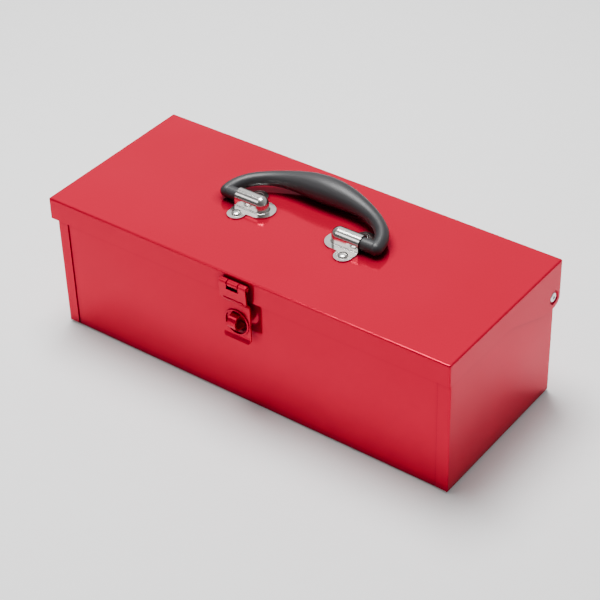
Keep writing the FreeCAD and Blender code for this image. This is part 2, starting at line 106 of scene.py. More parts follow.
def pick(kind, test):
    """Select the VERT, EDGE or FACE items that pass a test of the item and its middle in mm."""
    bpy.ops.mesh.select_mode(type=kind)
    bpy.ops.mesh.select_all(action="DESELECT")
    shape = bmesh.from_edit_mesh(bpy.context.object.data)
    items = {"VERT": shape.verts, "EDGE": shape.edges, "FACE": shape.faces}[kind]
    count = 0
    for item in items:
        if kind == "VERT":
            middle = item.co.copy()
        elif kind == "EDGE":
            middle = (item.verts[0].co + item.verts[1].co) / 2
        else:
            middle = item.calc_center_median()
        if test(item, middle * 1000):
            item.select_set(True)
            count += 1
    shape.select_flush_mode()
    bmesh.update_edit_mesh(bpy.context.object.data)
    return count


def tidy_mesh():
    """In edit mode: merge doubles and point every face outwards."""
    bpy.ops.mesh.select_all(action="SELECT")
    bpy.ops.mesh.remove_doubles(threshold=mm(0.004))
    bpy.ops.mesh.normals_make_consistent(inside=False)


def apply_all(piece):
    """Apply every modifier, top one first."""
    only(piece)
    for modifier in list(piece.modifiers):
        bpy.ops.object.modifier_apply(modifier=modifier.name)


def cut_or_join(piece, tool, operation):
    """Boolean with another piece, which is used up."""
    step = piece.modifiers.new("fit", "BOOLEAN")
    step.operation = operation
    step.solver = "EXACT"
    step.object = tool
    apply_all(piece)
    bpy.data.objects.remove(tool, do_unlink=True)


def soften(piece, width, angle=40):
    """Round the edges sharper than an angle, then shade smooth."""
    bevel = piece.modifiers.new("soft edges", "BEVEL")
    bevel.width = mm(width)
    bevel.segments = 2
    bevel.limit_method = "ANGLE"
    bevel.angle_limit = math.radians(angle)
    apply_all(piece)
    smooth(piece)


def smooth(piece, angle=35):
    """Shade smooth below an angle, with the large flat faces deciding which way the surface looks."""
    only(piece)
    bpy.ops.object.shade_smooth_by_angle(angle=math.radians(angle))
    even = piece.modifiers.new("even shading", "WEIGHTED_NORMAL")
    even.mode = "FACE_AREA"
    even.weight = 50
    even.keep_sharp = True
    apply_all(piece)


def joined(name, *pieces):
    """Several meshes as one object."""
    clear()
    for piece in pieces:
        piece.select_set(True)
    bpy.context.view_layer.objects.active = pieces[0]
    bpy.ops.object.join()
    pieces[0].name = name
    return pieces[0]


def settle(piece):
    """Bake the object's place, turn and scale into its mesh."""
    only(piece)
    bpy.ops.object.transform_apply(location=True, rotation=True, scale=True)
    return piece


def copied(piece, name):
    twin = piece.copy()
    twin.data = piece.data.copy()
    twin.name = name
    bpy.context.collection.objects.link(twin)
    return twin


def flipped(piece, name):
    """The same piece on the other side of the box."""
    twin = copied(piece, name)
    only(twin)
    edit()
    bpy.ops.mesh.select_all(action="SELECT")
    bpy.ops.transform.mirror(constraint_axis=(True, False, False), center_override=(0, 0, 0))
    bpy.ops.mesh.normals_make_consistent(inside=False)
    done()
    return twin


print("tools ready")

# %% [markdown]
# Many pieces here are round: rivet heads, pins, the handle's stubs. Each is a disc pulled up in
# steps: extrude the end face, move it, scale it. One helper takes a list of heights and radii and
# makes all of them. It builds along +Z and then turns the result to where the piece points.

# %% Round pieces pulled up from a disc
POINTING = {
    "+Z": Matrix.Identity(4),
    "-Z": Matrix.Rotation(math.pi, 4, "X"),
    "+X": Matrix.Rotation(math.pi / 2, 4, "Y"),
    "-X": Matrix.Rotation(-math.pi / 2, 4, "Y"),
    "+Y": Matrix.Rotation(-math.pi / 2, 4, "X"),
    "-Y": Matrix.Rotation(math.pi / 2, 4, "X"),
}


def pulled_up(name, profile, place, pointing="+Z", sides=32):
    """A disc pulled through (height, radius) steps, standing at a place and pointing along an axis."""
    clear()
    height, radius = profile[0]
    bpy.ops.mesh.primitive_circle_add(
        vertices=sides, radius=mm(radius), fill_type="NGON", location=mm(0, 0, height)
    )
    piece = bpy.context.object
    piece.name = name
    settle(piece)
    edit()
    bpy.ops.mesh.select_mode(type="FACE")
    bpy.ops.mesh.select_all(action="SELECT")
    for next_height, next_radius in profile[1:]:
        bpy.ops.mesh.extrude_region_move(
            TRANSFORM_OT_translate={"value": (0, 0, mm(next_height - height))}
        )
        scale = next_radius / radius
        bpy.ops.transform.resize(value=(scale, scale, scale), center_override=mm(0, 0, next_height))
        height, radius = next_height, next_radius
    tidy_mesh()
    done()
    piece.matrix_world = Matrix.Translation(mm(*place)) @ POINTING[pointing]
    return settle(piece)


def dome_profile(radius, height, rim=0.3, steps=6):
    """Heights and radii of a rivet's head: a short straight rim, then a round cap."""
    low = height * rim
    profile = [(0, radius), (low, radius)]
    for step in range(1, steps):
        turn = math.pi / 2 * step / steps
        profile.append((low + (height - low) * math.sin(turn), radius * math.cos(turn)))
    profile.append((height, radius * 0.06))
    return profile


print("a rivet head takes", len(dome_profile(3.8, 1.7)), "steps")

# %% [markdown]
# ## The handle
#
# The real handle is one moulding around a steel rod: a grip that swells in the middle, legs that
# curve down, round heels, and two stubs that turn in the brackets. A curve with a bevel could make
# it, but pulling a ring along the line by hand gives full control of the thickness at each step.
# Half is made and mirrored. The flash line where the two halves of the mould met is a very low rib
# around the middle plane.

# %% Half of the handle, pulled along its line
HALF = 67.6
REACH = 36.6
SQUARENESS = 2.15
GRIP_R = 10.8
LEG_R = 5.2
SWELL = 3.7
HEEL_R = 5.3
STUB_R = 5.0
STUB_END = 38.5


def handle_line(turn):
    """Place and thickness of the handle at a turn from 0, a heel, to 90, the middle of the grip."""
    across = math.cos(math.radians(turn))
    out = math.sin(math.radians(turn))
    x = HALF * across ** (2 / SQUARENESS)
    y = REACH * out ** (2 / SQUARENESS)
    return x, y, LEG_R + (GRIP_R - LEG_R) * (1 - (x / HALF) ** 2) ** SWELL


def ring_heading(turn):
    """Which way the line runs there, in radians from +X."""
    if turn <= 0:
        return math.pi / 2
    if turn >= 90:
        return math.pi
    x0, y0, _ = handle_line(turn - 0.5)
    x1, y1, _ = handle_line(turn + 0.5)
    return math.atan2(y1 - y0, x1 - x0)


HEEL_STEPS = 5
HEEL_START = 12
LINE_TURNS = (5, 9, 14, 19, 24, 29, 34, 39, 44, 49, 54, 59, 64, 69, 74, 79, 84.5, 90)


def heel_ring(around):
    """Place, thickness and heading of a ring on the heel's ball, by its angle from the ball's end."""
    around = math.radians(around)
    return HALF, -HEEL_R * math.cos(around), HEEL_R * math.sin(around), math.pi / 2


x, y, radius, heading = heel_ring(HEEL_START)
clear()
bpy.ops.mesh.primitive_circle_add(
    vertices=40, radius=mm(radius), fill_type="NGON", location=mm(x, y, 0), rotation=(-math.pi / 2, 0, 0)
)
grip = bpy.context.object
grip.name = "handle_body"
settle(grip)
edit()
bpy.ops.mesh.select_mode(type="FACE")
bpy.ops.mesh.select_all(action="SELECT")
rings = [heel_ring(HEEL_START + (90 - HEEL_START) * step / HEEL_STEPS) for step in range(1, HEEL_STEPS + 1)]
rings += [(*handle_line(turn), ring_heading(turn)) for turn in LINE_TURNS]
for next_x, next_y, next_radius, next_heading in rings:
    middle = mm(next_x, next_y, 0)
    bpy.ops.mesh.extrude_region_move(TRANSFORM_OT_translate={"value": mm(next_x - x, next_y - y, 0)})
    if abs(next_heading - heading) > 1e-6:
        bpy.ops.transform.rotate(
            value=-(next_heading - heading), orient_axis="Z", orient_type="GLOBAL", center_override=middle
        )
    scale = next_radius / radius
    bpy.ops.transform.resize(value=(scale, scale, scale), center_override=middle)
    x, y, radius, heading = next_x, next_y, next_radius, next_heading
tidy_mesh()
last_x = [round(v.co.x * 1000, 2) for v in bmesh.from_edit_mesh(grip.data).verts]
pick("FACE", lambda face, at: len(face.verts) > 4 and at.x < 1)
bpy.ops.mesh.delete(type="FACE")
done()
print("half a handle:", len(grip.data.vertices), "corners, from x", min(last_x), "to", max(last_x))

# %% [markdown]
# The stub is a plain round bar with a rounded end. It runs into the heel, and a boolean joins the
# two so that the crease between them is a real edge that can be softened.

# %% Stub, mirror, mould line and tilt
FLASH_HALF = 0.28
FLASH_RISE = 0.16
stub = pulled_up(
    "stub", [(0, STUB_R - 0.8), (0.8, STUB_R), (HALF - STUB_END, STUB_R)], (STUB_END, 0, 0), "+X", sides=40
)
mirror = grip.modifiers.new("other half", "MIRROR")
mirror.use_clip = True
mirror.merge_threshold = mm(0.05)
apply_all(grip)
cut_or_join(grip, flipped(stub, "stub_left"), "UNION")
cut_or_join(grip, stub, "UNION")
only(grip)
edit()
tidy_mesh()
done()
soften(grip, 0.45, angle=50)
only(grip)
edit()
for level in (FLASH_HALF, -FLASH_HALF):
    bpy.ops.mesh.select_all(action="SELECT")
    bpy.ops.mesh.bisect(plane_co=mm(0, 0, level), plane_no=(0, 0, 1))
rim = pick(
    "FACE", lambda face, at: abs(at.z) < FLASH_HALF - 0.01 and abs(face.normal.z) < 0.6 and at.y > -1
)
bpy.ops.transform.shrink_fatten(value=mm(FLASH_RISE))
done()
tilt = Matrix.Rotation(math.radians(REST_TILT), 4, "X")
grip.matrix_world = Matrix.Translation(mm(0, SWING_Y, SWING_Z)) @ tilt
settle(grip)
smooth(grip, 50)
print("handle:", len(grip.data.vertices), "corners, mould line on", rim, "faces")

# %% [markdown]
# ## The brackets
#
# Each bracket is one stamping: a round-topped channel with a ball nose, standing on a flange with
# an ear on each side. The channel starts as the upper half of a ball: its rim is pulled down to the
# flange, and its open half is pulled straight to the mouth. The flange is a slab and a disc, and the
# ears are two more discs joined by boolean.

# %% One bracket
NOSE = 35.9
MOUTH = 56.0
CHANNEL_R = 6.3
INNER_R = 5.4
PLATE = 0.9
FLANGE_R = 11.3
EAR_X = 48.5
EAR_OUT = 13.9
EAR_R = 7.2


def channel(name, radius, low, mouth):
    """A solid channel with a ball nose, from a height up to its round top."""
    clear()
    bpy.ops.mesh.primitive_uv_sphere_add(
        segments=48, ring_count=24, radius=mm(radius), location=mm(NOSE, SWING_Y, SWING_Z)
    )
    piece = bpy.context.object
    piece.name = name
    settle(piece)
    edit()
    bpy.ops.mesh.select_all(action="SELECT")
    bpy.ops.mesh.bisect(plane_co=mm(0, 0, SWING_Z), plane_no=(0, 0, 1), clear_inner=True)
    pick("EDGE", lambda edge, at: edge.is_boundary)
    bpy.ops.mesh.extrude_region_move(TRANSFORM_OT_translate={"value": (0, 0, mm(low - SWING_Z))})
    pick("EDGE", lambda edge, at: edge.is_boundary)
    bpy.ops.mesh.edge_face_add()
    bpy.ops.mesh.select_all(action="SELECT")
    bpy.ops.mesh.bisect(plane_co=mm(NOSE, 0, 0), plane_no=(1, 0, 0))
    pick("FACE", lambda face, at: at.x > NOSE)
    bpy.ops.mesh.extrude_region_move(TRANSFORM_OT_translate={"value": (mm(mouth - NOSE + 1), 0, 0)})
    bpy.ops.mesh.select_all(action="SELECT")
    bpy.ops.mesh.bisect(plane_co=mm(mouth, 0, 0), plane_no=(1, 0, 0), clear_outer=True, use_fill=True)
    tidy_mesh()
    done()
    return piece


def disc(name, radius, x, y, low, high, sides=48):
    return pulled_up(name, [(low, radius), (high, radius)], (x, y, 0), "+Z", sides)


def slab(name, low, high):
    """A box from one corner to the other."""
    clear()
    bpy.ops.mesh.primitive_cube_add(size=1, location=(mm(*low) + mm(*high)) / 2, scale=mm(*high) - mm(*low))
    piece = bpy.context.object
    piece.name = name
    return settle(piece)


plate_top = LID_TOP + PLATE
bracket = slab(
    "handle_bracket_body", (NOSE, SWING_Y - FLANGE_R, LID_TOP), (MOUTH, SWING_Y + FLANGE_R, plate_top)
)
cut_or_join(bracket, disc("nose_flange", FLANGE_R, NOSE, SWING_Y, LID_TOP, plate_top, 64), "UNION")
for side in (-1, 1):
    ear = disc("ear", EAR_R, EAR_X, SWING_Y + side * EAR_OUT, LID_TOP, plate_top)
    cut_or_join(bracket, ear, "UNION")
print("flange and ears:", len(bracket.data.vertices), "corners")

# %% [markdown]
# The ears meet the flange in sharp inner corners, which a press can't make. Those upright edges are
# picked by place and bevelled wide. Then the channel is joined on, its foot is rounded, the inside
# is hollowed for the stub, and last every edge that is still sharp gets a narrow round.

# %% Blends, channel and hollow
only(bracket)
edit()
bpy.ops.mesh.select_all(action="SELECT")
bpy.ops.mesh.dissolve_limited(angle_limit=math.radians(1))
corners = pick(
    "EDGE",
    lambda edge, at: abs(edge.verts[0].co.z - edge.verts[1].co.z) > mm(0.5)
    and abs(abs(at.y - SWING_Y) - FLANGE_R) < 0.05 and NOSE + 1 < at.x < MOUTH - 0.1,
)
bpy.ops.mesh.bevel(offset=mm(2.6), segments=5, affect="EDGES")
done()
cut_or_join(bracket, channel("channel", CHANNEL_R, LID_TOP + 0.01, MOUTH), "UNION")
only(bracket)
edit()
tidy_mesh()
foot = pick(
    "EDGE",
    lambda edge, at: abs(edge.verts[0].co.z * 1000 - plate_top) < 0.02
    and abs(edge.verts[1].co.z * 1000 - plate_top) < 0.02
    and at.x < MOUTH - 0.05
    and abs(math.hypot(min(at.x - NOSE, 0), at.y - SWING_Y) - CHANNEL_R) < 0.12,
)
bpy.ops.mesh.bevel(offset=mm(0.9), segments=3, affect="EDGES")
done()
cut_or_join(bracket, channel("hollow", INNER_R, LID_TOP - 1, MOUTH + 1), "DIFFERENCE")
soften(bracket, 0.22, angle=45)
bracket_left = flipped(bracket, "handle_bracket_body_left")
smooth(bracket_left)
print("bracket:", corners, "blends,", foot, "edges at the foot,", len(bracket.data.vertices), "corners")

# %% [markdown]
# ## Rivets
#
# Two domed rivets hold each bracket. Head, shank and tail are each pulled up from a disc, and the
# left pair is the right one mirrored.

# %% Bracket rivets
HEAD_R, HEAD_HIGH = 3.8, 1.7
SHANK_R = 1.9
TAIL_R, TAIL_HIGH = 2.9, 1.1
backing_low = LID_TOP - 2.0
heads = []
for side in (-1, 1):
    rivet_y = SWING_Y + side * EAR_OUT
    heads += [
        pulled_up("head", dome_profile(HEAD_R, HEAD_HIGH, 0.25), (EAR_X, rivet_y, plate_top), "+Z"),
        disc("shank", SHANK_R, EAR_X, rivet_y, backing_low, plate_top + 0.2, 24),
        pulled_up("tail", dome_profile(TAIL_R, TAIL_HIGH), (EAR_X, rivet_y, backing_low), "-Z"),
    ]
rivets = joined("bracket_rivet_pair", *heads)
smooth(rivets, 50)
rivets_left = flipped(rivets, "bracket_rivet_pair_left")
smooth(rivets_left, 50)
print("four rivets,", len(rivets.data.vertices), "corners a pair")

# %% [markdown]
# ## The lid's hinge rivets
#
# Each ear turns on a hollow blind rivet: a flat-domed flange with a hole in its middle, where the
# drawn stem broke off below the surface. The outline goes over the flange and down into the hole.

# %% Hinge rivets
EAR_FACE = 178.8
PANEL_INSIDE = 177.0
FLANGE_AND_BORE = [
    (-5.6, 2.0), (0.15, 2.0), (0.15, 3.65), (0.35, 3.8), (0.62, 3.72), (0.9, 3.3), (1.08, 2.6),
    (1.15, 1.9), (1.12, 1.6), (0.95, 1.35), (0.6, 1.28), (-1.9, 1.25),
]
SWELLED_TAIL = [(0, 2.0), (0.3, 2.9), (3.0, 2.9), (3.8, 2.5), (4.2, 1.8)]
BROKEN_STEM = [(-2.0, 1.24), (-1.2, 1.2), (-1.1, 0.9), (-1.0, 0.4)]
ear_face = (EAR_FACE, LID_PIVOT_Y, LID_PIVOT_Z)
hinge = pulled_up("hinge_rivet_head", FLANGE_AND_BORE, ear_face, "+X", sides=36)
tail = pulled_up("tail", SWELLED_TAIL, (PANEL_INSIDE, LID_PIVOT_Y, LID_PIVOT_Z), "-X")
hinge = joined("hinge_rivet_body", hinge, tail)
smooth(hinge, 45)
hinge_left = flipped(hinge, "hinge_rivet_body_left")
smooth(hinge_left, 45)
stem = pulled_up("hinge_stem_body", BROKEN_STEM, ear_face, "+X", 20)
print("hinge rivets:", len(hinge.data.vertices), "corners each")

# %% [markdown]
# ## The hasp
#
# The hasp's swinging plate is a strip of sheet that hangs from two knuckles, steps in towards the
# base at a ridge, and carries a round window with a raised collar. Its side view is a line through
# five points. An edge is pulled down that line, the bends are bevelled round, and Solidify gives it
# the sheet's thickness. The window and the notch between the knuckles are cut through it.

# %% The swinging plate
HASP_HALF = 12.0
HASP_SHEET = 1.2
HASP_CORNER = 4.0
KNUCKLE_DOWN = 5.3
KNUCKLE_GAP = 0.3
KNUCKLE_R = 2.6
KNUCKLE_HALF = 4.75
KNUCKLE_SPACE = 0.5
NOTCH_DROP = 4.5
LOWER_FACE = 1.3
LEAN = 0.9
WINDOW_DOWN = 39.5
WINDOW_R = 9.8
COLLAR = 1.1
JOGGLE = 18.2
JOGGLE_DROP = 4.2
LIP_TOP = 51.4
LIP_BOTTOM = 55.4
LIP_OUT = 1.6
PLATE_END = 56.2


def hasp_point(out, down):
    """A place in the side view: out from the lid's flange, down from the lid's top."""
    return 0, LID_FRONT - out, LID_TOP - down


def strip(name, half_width, line, thickness, bend):
    """Sheet metal pulled along a side view, bent round its inner corners."""
    clear()
    _, y, z = line[0]
    bpy.ops.mesh.primitive_plane_add(size=1, location=(0, 0, 0))
    piece = bpy.context.object
    piece.name = name
    edit()
    pick("VERT", lambda vert, at: at.y > 0)
    bpy.ops.mesh.delete(type="VERT")
    bpy.ops.mesh.select_all(action="SELECT")
    bpy.ops.transform.resize(value=(mm(2 * half_width), 1, 1), center_override=(0, 0, 0))
    bpy.ops.transform.translate(value=(0, mm(y) + 0.5, mm(z)))
    bpy.ops.mesh.select_mode(type="EDGE")
    for _, next_y, next_z in line[1:]:
        bpy.ops.mesh.extrude_region_move(TRANSFORM_OT_translate={"value": mm(0, next_y - y, next_z - z)})
        y, z = next_y, next_z
    inner = [point[1:] for point in line[1:-1]]
    pick("EDGE", lambda edge, at: any(math.hypot(at.y - a, at.z - b) < 0.01 for a, b in inner))
    if bend:
        bpy.ops.mesh.bevel(offset=mm(bend), segments=4, affect="EDGES")
    done()
    wall = piece.modifiers.new("sheet", "SOLIDIFY")
    wall.thickness = mm(thickness)
    wall.offset = 0
    wall.use_even_offset = True
    apply_all(piece)
    only(piece)
    edit()
    tidy_mesh()
    done()
    return piece


FACE_OUT = KNUCKLE_GAP + 2 * KNUCKLE_R - HASP_SHEET / 2
LOW_OUT = LOWER_FACE - HASP_SHEET / 2
SIDE_VIEW = [
    hasp_point(FACE_OUT, KNUCKLE_DOWN),
    hasp_point(FACE_OUT - LEAN, JOGGLE),
    hasp_point(LOW_OUT, JOGGLE + JOGGLE_DROP),
    hasp_point(LOW_OUT, LIP_TOP),
    hasp_point(LOW_OUT + LIP_OUT, LIP_BOTTOM),
]
plate = strip("hasp_swinging_plate", HASP_HALF, SIDE_VIEW, HASP_SHEET, 0.9)
plate_low = LID_TOP - PLATE_END
outline = slab("outline", (-HASP_HALF, LID_FRONT - 20, plate_low), (HASP_HALF, LID_FRONT + 20, LID_TOP))
only(outline)
edit()
pick("EDGE", lambda edge, at: abs(at.z - plate_low) < 0.1 and abs(abs(at.x) - HASP_HALF) < 0.1)
bpy.ops.mesh.bevel(offset=mm(HASP_CORNER), segments=8, affect="EDGES")
done()
cut_or_join(plate, outline, "INTERSECT")
print("plate before its window:", len(plate.data.vertices), "corners")

# %% Window and notch
eye = (0, LID_FRONT - LOWER_FACE - COLLAR, LID_TOP - WINDOW_DOWN)
ring_r = WINDOW_R + COLLAR
ring_profile = [(0, ring_r - 0.45), (0.12, ring_r - 0.15), (0.4, ring_r), (COLLAR + 0.2, ring_r + 0.25)]
cut_or_join(plate, pulled_up("collar", ring_profile, eye, "+Y", sides=64), "UNION")
cut_or_join(plate, pulled_up("window", [(-5, WINDOW_R), (15, WINDOW_R)], eye, "+Y", sides=64), "DIFFERENCE")
gap = KNUCKLE_HALF + KNUCKLE_SPACE
notch = slab("notch", (-gap, HASP_Y - 10, HASP_Z - NOTCH_DROP), (gap, HASP_Y + 5, LID_TOP + 5))
cut_or_join(plate, notch, "DIFFERENCE")
soften(plate, 0.28)
print("plate:", len(plate.data.vertices), "corners")

# %% [markdown]
# The ridge across the joggle and the two knuckles are round bars. They share the plate's paint, so
# they stay in one object with it. The middle knuckle belongs to the leaf, which is riveted to the
# lid. The pin runs through all three.

# %% Ridge, knuckles, leaf and pin
RIDGE_PROFILE = [(-9.0, 0.3), (-8.7, 0.75), (-8.0, 0.9), (8.0, 0.9), (8.7, 0.75), (9.0, 0.3)]


def knuckle_profile(start, end):
    """A knuckle from one end to the other, with both rims rounded."""
    return [
        (start, KNUCKLE_R - 0.35), (start + 0.1, KNUCKLE_R - 0.12), (start + 0.35, KNUCKLE_R),
        (end - 0.35, KNUCKLE_R), (end - 0.1, KNUCKLE_R - 0.12), (end, KNUCKLE_R - 0.35),
    ]


ridge_at = hasp_point(FACE_OUT - LEAN + HASP_SHEET / 2 - 0.2, JOGGLE)
bars = [plate, pulled_up("ridge", RIDGE_PROFILE, ridge_at, "+X", sides=20)]
for side, way in ((1, "+X"), (-1, "-X")):
    profile = knuckle_profile(0, HASP_HALF - gap)
    bars.append(pulled_up("knuckle", profile, (side * gap, HASP_Y, HASP_Z), way, sides=36))
plate = joined("hasp_swinging_plate", *bars)
smooth(plate, 40)

LEAF_HALF = HASP_HALF - 1
LEAF_DOWN = 16.6
TONGUE_DOWN = 13.6
PIN_PROFILE = [(-12.75, 0.5), (-12.6, 1.1), (-12.35, 1.35), (12.35, 1.35), (12.6, 1.1), (12.75, 0.5)]
leaf_front = LID_FRONT - HASP_SHEET
leaf = slab("leaf", (-LEAF_HALF, leaf_front, LID_TOP - LEAF_DOWN), (LEAF_HALF, LID_FRONT, HASP_Z - 3.1))
tongue_low = LID_TOP - TONGUE_DOWN
tongue = slab("tongue", (-KNUCKLE_HALF, leaf_front, tongue_low), (KNUCKLE_HALF, LID_FRONT, HASP_Z))
cut_or_join(leaf, tongue, "UNION")
soften(leaf, 0.3)
profile = knuckle_profile(-KNUCKLE_HALF, KNUCKLE_HALF)
middle_knuckle = pulled_up("middle_knuckle", profile, (0, HASP_Y, HASP_Z), "+X", sides=36)
leaf = joined("hasp_leaf_body", leaf, middle_knuckle)
smooth(leaf, 40)
pin = pulled_up("hasp_pin_body", PIN_PROFILE, (0, HASP_Y, HASP_Z), "+X", sides=24)
smooth(pin, 50)
print("leaf:", len(leaf.data.vertices), "corners, pin:", len(pin.data.vertices))

# %% [markdown]
# ## The staple
#
# A narrow strip bent into a loop with a foot at each end, riveted to the base. It comes out through
# the hasp's window and takes a padlock.

# %% Staple and its rivets
STAPLE_SHEET = 1.5
STAPLE_HALF = 3.5
STAPLE_DOWN = 38.0
STAPLE_R = 7.0
STAPLE_REACH = 8.5
FOOT = 9.5
LOOP_R = STAPLE_R - STAPLE_SHEET / 2
LOOP_STEPS = 12
base_out = LID_FRONT - BASE_FRONT + STAPLE_SHEET / 2
loop_out = STAPLE_REACH - STAPLE_R
foot_line = [(FOOT, base_out), (1.0, base_out), (0.3, base_out + 0.3)]
loop_line = [hasp_point(out, STAPLE_DOWN - LOOP_R - away) for away, out in foot_line]
for step in range(LOOP_STEPS + 1):
    turn = math.pi * step / LOOP_STEPS
    loop_line.append(hasp_point(loop_out + LOOP_R * math.sin(turn), STAPLE_DOWN - LOOP_R * math.cos(turn)))
loop_line += [hasp_point(out, STAPLE_DOWN + LOOP_R + away) for away, out in reversed(foot_line)]
loop = strip("staple_loop", STAPLE_HALF, loop_line, STAPLE_SHEET, 0)
soften(loop, 0.35, angle=50)
heads = []
for side in (-1, 1):
    head_z = LID_TOP - STAPLE_DOWN - side * (STAPLE_R + FOOT / 2)
    head_at = (0, BASE_FRONT - STAPLE_SHEET, head_z)
    heads.append(pulled_up("head", dome_profile(2.4, 1.1), head_at, "-Y", sides=24))
staple_heads = joined("staple_rivet_heads", *heads)
smooth(staple_heads, 50)
print("staple:", len(loop.data.vertices), "corners")

# %% [markdown]
# ## The sheet-metal body
#
# Lid, wrap and end panels have the right shape already. Sheet that has been sheared and folded has
# no knife edges, though, and the eye finds a tin's edges by the light that runs along them. Each of
# these pieces is copied, its loose triangles are merged into flat faces, and every remaining sharp
# edge gets a very narrow round. The lid's front flange is folded back on itself at the bottom, and
# that fold gets a wider round.

# %% Rounded copies of the folded sheet
def refined(node, name, width, folds=None, fold=0.0):
    """A copy of a CAD piece with merged faces and narrow rounds, wider where the sheet is folded back."""
    piece = bpy.data.objects.new(name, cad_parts[node].data.copy())
    bpy.context.collection.objects.link(piece)
    only(piece)
    if piece.data.has_custom_normals:
        bpy.ops.mesh.customdata_custom_splitnormals_clear()
    edit()
    tidy_mesh()
    bpy.ops.mesh.select_all(action="SELECT")
    bpy.ops.mesh.dissolve_limited(angle_limit=math.radians(0.4))
    rolled = pick("EDGE", folds) if folds else 0
    if rolled:
        bpy.ops.mesh.bevel(offset=mm(fold), segments=4, affect="EDGES")
    done()
    soften(piece, width, angle=42)
    print(name, len(piece.data.vertices), "corners,", rolled, "folded edges")
    return piece


def front_hem(edge, at):
    """The fold along the bottom of the lid's front flange."""
    run = edge.verts[1].co - edge.verts[0].co
    at_fold = abs(at.z - (LID_TOP - FLANGE_DEPTH)) < 0.05 and abs(at.y - LID_FRONT) < 0.05
    return abs(run.x) > mm(100) and at_fold


HEM_ROUND = 1.1
lid = refined("lid_shell", "lid_folded", 0.3, front_hem, HEM_ROUND)
wrap = refined("base_wrap", "base_folded", 0.2)
end_right = refined("end_panel_right", "end_right_folded", 0.36)
end_left = refined("end_panel_left", "end_left_folded", 0.36)

# %% [markdown]
# ## Shader maths in plain Python
#
# Node trees are easier to read as sums. `Value` wraps one socket, and adding, multiplying or taking
# away makes the Math node that does it. `blend` mixes two colours. Every other node comes from
# `node`, which takes the node's type, its settings, and what goes into its sockets.

# %% A small language for materials
class Value:
    """A number that changes over the surface: one output socket of a node."""

    def __init__(self, paint, socket):
        self.paint = paint
        self.socket = socket

    def maths(self, operation, first, second):
        return self.paint.node("ShaderNodeMath", {"operation": operation}, {0: first, 1: second})

    def __add__(self, other):
        return self.maths("ADD", self, other)

    def __mul__(self, other):
        return self.maths("MULTIPLY", self, other)

    def __rsub__(self, other):
        return self.maths("SUBTRACT", other, self)


class Finish:
    """One material, with its Principled shader ready."""

    def __init__(self, name, **constants):
        self.material = bpy.data.materials.new(name)
        self.material.use_nodes = True
        self.tree = self.material.node_tree
        self.shader = self.tree.nodes["Principled BSDF"]
        for socket, number in constants.items():
            self.shader.inputs[socket.replace("_", " ")].default_value = number

    def node(self, kind, settings=None, inputs=None, output=0):
        made = self.tree.nodes.new(kind)
        for key, setting in (settings or {}).items():
            setattr(made, key, setting)
        for key, value in (inputs or {}).items():
            if isinstance(value, Value):
                self.tree.links.new(value.socket, made.inputs[key])
            else:
                made.inputs[key].default_value = value
        return Value(self, made.outputs[output])

    def place(self):
        """The point on the object, in metres."""
        return self.node("ShaderNodeTexCoord", output=3)

    def noise(self, scale, detail=2.0, roughness=0.5):
        return self.node(
            "ShaderNodeTexNoise", None,
            {"Vector": self.place(), "Scale": scale, "Detail": detail, "Roughness": roughness},
        )

    def blend(self, factor, low, high):
        """A colour that goes from low, which may be a Value, to high as the factor goes from 0 to 1."""
        made = self.tree.nodes.new("ShaderNodeMix")
        made.data_type = "RGBA"
        self.tree.links.new(factor.socket, made.inputs["Factor"])
        if isinstance(low, Value):
            self.tree.links.new(low.socket, made.inputs["A"])
        else:
            made.inputs["A"].default_value = (*low, 1)
        made.inputs["B"].default_value = (*high, 1)
        return Value(self, made.outputs["Result"])

    def feed(self, socket, value):
        self.tree.links.new(value.socket, self.shader.inputs[socket])

    def bump(self, height):
        """Bend the surface by a height in metres."""
        self.feed("Normal", self.node(
            "ShaderNodeBump", None, {"Height": height, "Distance": 1.0, "Strength": 1.0}
        ))


print("materials can be written now")

# %% [markdown]
# ## Candy-red enamel
#
# Candy paint is a clear red over a bright metallic ground, so its reflections are red as well, and
# a thin clear coat adds a little white gloss. That is a partly metallic red under a coat. Sprayed
# enamel is never quite flat: a long soft swell bends the reflections, and a very fine texture (the
# painter's orange peel) breaks them up. The colour varies slightly where the coat is thicker. Shade
# is painted into the colour too: corners, laps and gaps are painted darker where Ambient Occlusion,
# which says how much open air there is within a few millimetres, finds little of it.

# %% Red paint
PAINTED_SHADE_REACH = 9
PAINTED_SHADE_DEPTH = 1.6
SWELL_HEIGHT = 0.0009
PEEL_HEIGHT = 0.000012
red = Finish(
    "candy red enamel", Metallic=0.5, IOR=1.05, Coat_Weight=0.02, Coat_Roughness=0.03, Coat_IOR=1.5,
)
thickness = red.noise(9.0, 3.0)
colour = red.blend(thickness, (0.52, 0.0, 0.027), (0.58, 0.0, 0.035))
# Painted shade: where Ambient Occlusion finds little open air, the colour is darkened towards a dark red.
open_air = red.node("ShaderNodeAmbientOcclusion", {"samples": 8}, {"Distance": mm(PAINTED_SHADE_REACH)}, output=1)
painted_shade = (1.0 - open_air) * PAINTED_SHADE_DEPTH
red.feed("Base Color", red.blend(painted_shade, colour, (0.12, 0.0, 0.012)))
red.feed("Roughness", red.noise(420.0, 2.0) * 0.04 + red.noise(14.0, 2.0) * 0.04 + 0.07)
red.bump(red.noise(14.0, 1.0) * SWELL_HEIGHT + red.noise(900.0, 1.0) * PEEL_HEIGHT)
print("red paint:", len(red.tree.nodes), "nodes")

# %% [markdown]
# ## Chrome, steel and plastic
#
# The brackets are chrome plated: almost a mirror, with faint polishing marks. The hinge rivets are
# brighter than the zinc-plated pieces inside the lid. The handle is a satin black plastic with the
# fine grain of a mould and shinier patches where hands have polished it.

